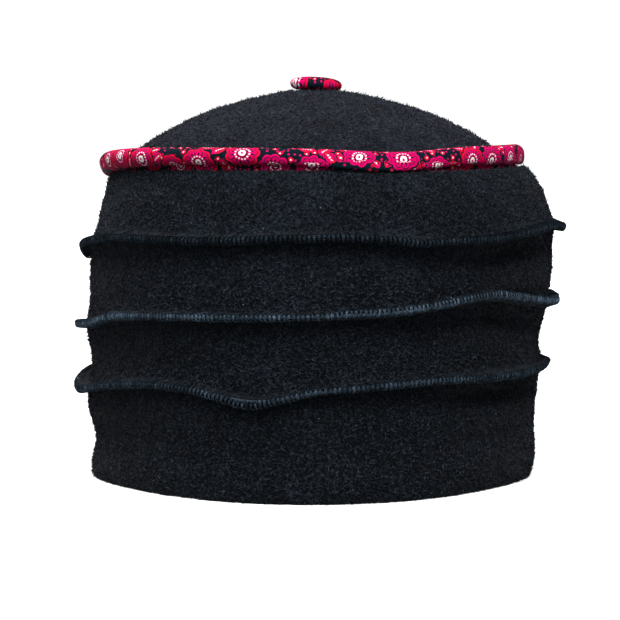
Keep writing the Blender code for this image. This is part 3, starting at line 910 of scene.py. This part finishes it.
def rosettes_on(tree, spot, colour):
    """Rosettes with a white heart, a ring of beads, dark teeth and a scalloped border."""
    x, y, chance = cells_of(tree, spot, *ROSETTE_CELLS)
    angle = sum_of(tree, "ARCTAN2", y, x)
    growth = sum_of(tree, "MULTIPLY_ADD", chance[2], *ROSETTE_SIZES)
    distance = sum_of(tree, "DIVIDE", length_of(tree, x, y), growth)
    lobes = sum_of(tree, "COSINE", sum_of(tree, "MULTIPLY", angle, ROSETTE_LOBES / 2))
    lobes = sum_of(tree, "ABSOLUTE", lobes)
    border = sum_of(tree, "MULTIPLY_ADD", lobes, LOBE_HEIGHT, BORDER_RADIUS)
    beyond = sum_of(tree, "SUBTRACT", distance, border)
    rim = over(tree, chance_of(tree, chance[0], 0.5), MAGENTA, RED)
    field = over(tree, soft_step(tree, distance, *FIELD_EDGES), MAGENTA, rim)
    marks = either(
        tree,
        in_band(tree, beyond, *BORDER_LINE),
        in_band(tree, distance, *HEART_LINE),
        teeth_on(tree, distance, angle, *TEETH),
    )
    field = over(tree, marks, field, NAVY)
    heart = within(tree, distance, HEART_RADIUS)
    whites = either(tree, heart, beads_on(tree, distance, angle, *BEADS))
    field = over(tree, whites, field, WHITE)
    field = over(tree, within(tree, distance, HEART_SPOT), field, MAGENTA)
    colour = over(tree, within(tree, beyond, ROSETTE_OUTLINE), colour, NAVY)
    return over(tree, within(tree, beyond, 0.0), colour, field)


def new_material(name, colour, **settings):
    """A material with a Principled shader set to plain values."""
    material = bpy.data.materials.new(name)
    material.use_nodes = True
    tree = material.node_tree
    shader = tree.nodes["Principled BSDF"]
    shader.inputs["Base Color"].default_value = (*colour, 1)
    for socket, value in settings.items():
        shader.inputs[socket.replace("_", " ")].default_value = value
    return material, tree, shader


def give_relief(tree, shader, strength, depth, height):
    """Lets a height bump the surface of a material."""
    values = {"Strength": strength, "Distance": depth, "Height": height}
    bump = place(tree, "ShaderNodeBump", values)
    tree.links.new(bump.outputs[0], shader.inputs["Normal"])


def cotton_material():
    """Fine plain-woven cotton with an all-over print of rosettes, leaves, drops and dots."""
    material, tree, shader = new_material(
        "printed_cotton", (0.6, 0.012, 0.08), Roughness=0.8, Specular_IOR_Level=0.02)
    on_cloth = place(tree, "ShaderNodeUVMap", uv_map="print").outputs[0]
    where = vector_sum(tree, "MULTIPLY", on_cloth, (PRINT_UNIT, PRINT_UNIT, PRINT_UNIT))
    wander = noise_at(tree, where, WANDER)["Color"]
    shift = vector_sum(tree, "SUBTRACT", wander, (0.5, 0.5, 0.5))
    spot = vector_sum(tree, "ADD", where, vector_sum(tree, "MULTIPLY", shift, WANDER_REACH))
    colour = rosettes_on(tree, spot, leaves_on(tree, spot, dotted_ground(tree, spot)))
    ways = place(tree, "ShaderNodeSeparateXYZ", {0: where}).outputs
    warp, weft = (
        sum_of(tree, "SINE", sum_of(tree, "MULTIPLY", ways[axis], math.tau / THREAD_PITCH))
        for axis in "XY")
    weave = sum_of(tree, "MULTIPLY", warp, weft)
    creases = noise_at(tree, where, CREASES)[0]
    shade = sum_of(tree, "MULTIPLY_ADD", creases, *CREASE_SHADES)
    shade = sum_of(tree, "MULTIPLY_ADD", weave, WEAVE_SHADE, shade)
    grey = place(tree, "ShaderNodeCombineColor", {0: shade, 1: shade, 2: shade}).outputs[0]
    kinds = {"data_type": "RGBA", "blend_type": "MULTIPLY"}
    woven = place(tree, "ShaderNodeMix", {0: 1.0, 6: colour, 7: grey}, **kinds)
    tree.links.new(woven.outputs[2], shader.inputs["Base Color"])
    height = sum_of(tree, "MULTIPLY_ADD", weave, WEAVE_HEIGHT, creases)
    give_relief(tree, shader, 0.4, 0.0005, height)
    return material


def fleece_group():
    """Colour and pile height of fleece, by its place and by tuft, with painted shade darker towards
    the hem and painted light and shade on the pile's clumps.
    """
    tree, given, made = new_group(
        "Fleece", "ShaderNodeTree",
        {"Place": "NodeSocketVector", "Strand": "NodeSocketFloat",
         "Ground": "NodeSocketColor", "Tips": "NodeSocketColor", "Lint": "NodeSocketColor"},
        {"Color": "NodeSocketColor", "Height": "NodeSocketFloat"},
    )
    where = given["Place"]
    height = place(tree, "ShaderNodeSeparateXYZ", {0: where}).outputs["Z"]
    pilled_and_shaded = soft_step(tree, height, *PILLING_AND_SHADE_HEIGHTS)
    tips = sum_of(tree, "MULTIPLY", sum_of(tree, "POWER", given["Strand"], 2.0), TUFT_LIFT)
    patch = soft_step(tree, noise_at(tree, where, WORN_PATCHES)[0], *WORN_EDGES)
    lift = sum_of(tree, "MULTIPLY_ADD", patch, WORN_LIFT, tips)
    # painted shade: darker down towards the hem
    lift = sum_of(tree, "MULTIPLY_ADD", pilled_and_shaded, HEM_PAINTED_SHADE, lift)
    off_line = sum_of(tree, "SUBTRACT", noise_at(tree, where, CURLS)[0], 0.5)
    fibres = soft_step(tree, sum_of(tree, "ABSOLUTE", off_line), *FIBRE_EDGES)
    weight = sum_of(tree, "MULTIPLY_ADD", pilled_and_shaded, *FIBRE_LIFTS)
    lift = sum_of(tree, "MULTIPLY_ADD", fibres, weight, lift)
    clumps = noise_at(tree, where, PILE_CLUMPS)[0]
    # painted light and shade: the pile's fuller clumps lighter, the gaps between them darker
    clump = sum_of(tree, "SUBTRACT", soft_step(tree, clumps, *CLUMP_EDGES), CLUMP_PAINTED_MIDDLE)
    weight = sum_of(tree, "MULTIPLY_ADD", pilled_and_shaded, *CLUMP_PAINTED_LIGHTS)
    lift = sum_of(tree, "MULTIPLY_ADD", clump, weight, lift, use_clamp=True)
    colour = over(tree, lift, given["Ground"], given["Tips"])
    values = {"Vector": where, "Scale": LINT_CELLS}
    specks = place(tree, "ShaderNodeTexVoronoi", values, feature="F1").outputs
    chance = place(tree, "ShaderNodeSeparateColor", {0: specks["Color"]}).outputs[0]
    speck = soft_step(tree, specks["Distance"], *LINT_EDGES)
    speck = sum_of(tree, "MULTIPLY", speck, chance_of(tree, chance, LINT_LEFT_OUT))
    speck = sum_of(tree, "MULTIPLY", speck, LINT_SHARE)
    tree.links.new(over(tree, speck, colour, given["Lint"]), made["Color"])
    tree.links.new(clumps, made["Height"])
    return tree


def fleece_material(name, group):
    """Short matt fleece in one colouring."""
    ground, tips = FLEECE_COLOURS_AND_PAINTED_LIGHT[name]
    material, tree, shader = new_material(
        name, ground, Roughness=0.92, Sheen_Weight=0.03, Sheen_Roughness=0.45,
        Sheen_Tint=(0.75, 0.72, 0.74, 1), Specular_IOR_Level=0.05)
    look = tree.nodes.new("ShaderNodeGroup")
    look.node_tree = group
    where = tree.nodes.new("ShaderNodeTexCoord").outputs["Object"]
    tree.links.new(where, look.inputs["Place"])
    strand = place(tree, "ShaderNodeAttribute", attribute_name="strand").outputs["Fac"]
    tree.links.new(strand, look.inputs["Strand"])
    look.inputs["Ground"].default_value = (*ground, 1)
    look.inputs["Tips"].default_value = (*tips, 1)
    look.inputs["Lint"].default_value = LINT
    tree.links.new(look.outputs["Color"], shader.inputs["Base Color"])
    give_relief(tree, shader, 0.6, 0.0008, look.outputs["Height"])
    return material


def thread_material():
    """Navy-charcoal overlock thread, a little uneven in its light, with painted light and shade:
    lighter on some ridges than on others, and darker in the lower loops and in the bed beneath the
    stitches.
    """
    material, tree, shader = new_material(
        "overlock_thread", (0.012, 0.02, 0.032), Roughness=0.7, Specular_IOR_Level=0.015)
    where = tree.nodes.new("ShaderNodeTexCoord").outputs["Object"]
    strand = place(tree, "ShaderNodeAttribute", attribute_name="strand").outputs["Fac"]
    # painted shade: the lower loops are coloured darker for the shade under the ridge's edge
    underside_painted_shade = place(tree, "ShaderNodeAttribute", attribute_name="underside_painted_shade").outputs["Fac"]
    plies = noise_at(tree, where, THREAD_PLIES)[0]
    patch = soft_step(tree, noise_at(tree, where, THREAD_PATCHES)[0], *PATCH_EDGES)
    patch = sum_of(tree, "MULTIPLY_ADD", patch, *PATCH_LIGHTS)
    # painted light and shade come in with the strand values and the lower loops' darker colour
    light = both_of(tree, strand, soft_step(tree, plies, *PLY_EDGES), underside_painted_shade, patch)
    tree.links.new(over(tree, light, THREAD_DARK, THREAD_LIGHT), shader.inputs["Base Color"])
    give_relief(tree, shader, 0.35, 0.0002, plies)
    return material


fleece = fleece_group()
band_fleece = fleece_material("band_fleece", fleece)
# painted light: the crown is dressed in the band's fleece, coloured lighter as lit from above
crown_fleece = fleece_material("crown_fleece", fleece)
pile = pile_group()
for node, seed in TIERS.items():
    dress_in_fleece(node, f"{node}_fleece", band_fleece, pile, seed)
dress_in_fleece("crown", "crown_fleece_top", crown_fleece, pile, CROWN_SEED)

thread = thread_material()
stitch = overlock_stitch(thread)
stitches = stitches_group()
for number in RIDGE_PAINTED_LIGHTS:
    overlocked_edge(number, stitches, stitch, thread)
bpy.data.objects.remove(stitch)

cotton = cotton_material()
piping = cloth_copy("piping", "piping_cover")
along_cord = AlongCord(piping)
sag_cover(piping, along_cord)
subdivide(piping, ROUNDINGS)
lay_print(piping, along_cord)
pucker(piping, along_cord)
piping.data.materials.append(cotton)
hand_over(piping, "piping")

button = cloth_copy("button", "button_cover")
across_button = AcrossButton()
for vertex in button.data.vertices:
    if vertex.co.z < across_button.middle.z:
        vertex.co.z -= BUTTON_SINK
subdivide(button, ROUNDINGS)
lay_print(button, across_button)
button.data.materials.append(cotton)
hand_over(button, "button")

bpy.ops.mesh.primitive_plane_add(size=FLOOR_SIZE, location=(0, 0, 0))
floor = bpy.context.active_object
floor.name = "floor"
floor.data.materials.append(
    new_material("white_floor", (0.86, 0.86, 0.86), Roughness=0.9, Emission_Strength=0.5)[0])
floor.visible_diffuse = False  # throws no light up under the ridges


def aim(piece, direction):
    """Turns the back of a light or a camera towards a direction."""
    piece.rotation_mode = "QUATERNION"
    piece.rotation_quaternion = Vector(direction).to_track_quat("Z", "Y")


for name, (direction, softness, power) in SUNS.items():
    sun = bpy.data.lights.new(name, "SUN")
    sun.angle = math.radians(softness)
    sun.energy = power
    aim(put_in_scene(name, sun), direction)

# The world is white to the camera, as a lit backdrop, and a weak fill light to the hat
world = bpy.data.worlds.new("studio")
bpy.context.scene.world = world
world.use_nodes = True
backdrop = world.node_tree.nodes["Background"]
backdrop.inputs["Color"].default_value = (1, 1, 1, 1)
seen = world.node_tree.nodes.new("ShaderNodeLightPath").outputs["Is Camera Ray"]
strengths = {"Value": seen, "To Min": FILL, "To Max": BACKDROP}
strength = place(world.node_tree, "ShaderNodeMapRange", strengths).outputs[0]
world.node_tree.links.new(strength, backdrop.inputs["Strength"])

lens = bpy.data.cameras.new("camera")
lens.lens = LENS
lens.sensor_width = SENSOR
camera = put_in_scene("camera", lens)
camera.location = CAMERA_PLACE
aim(camera, Vector(CAMERA_PLACE) - Vector(CAMERA_AIM))
bpy.context.scene.camera = camera
bpy.context.scene.view_settings.view_transform = "Standard"
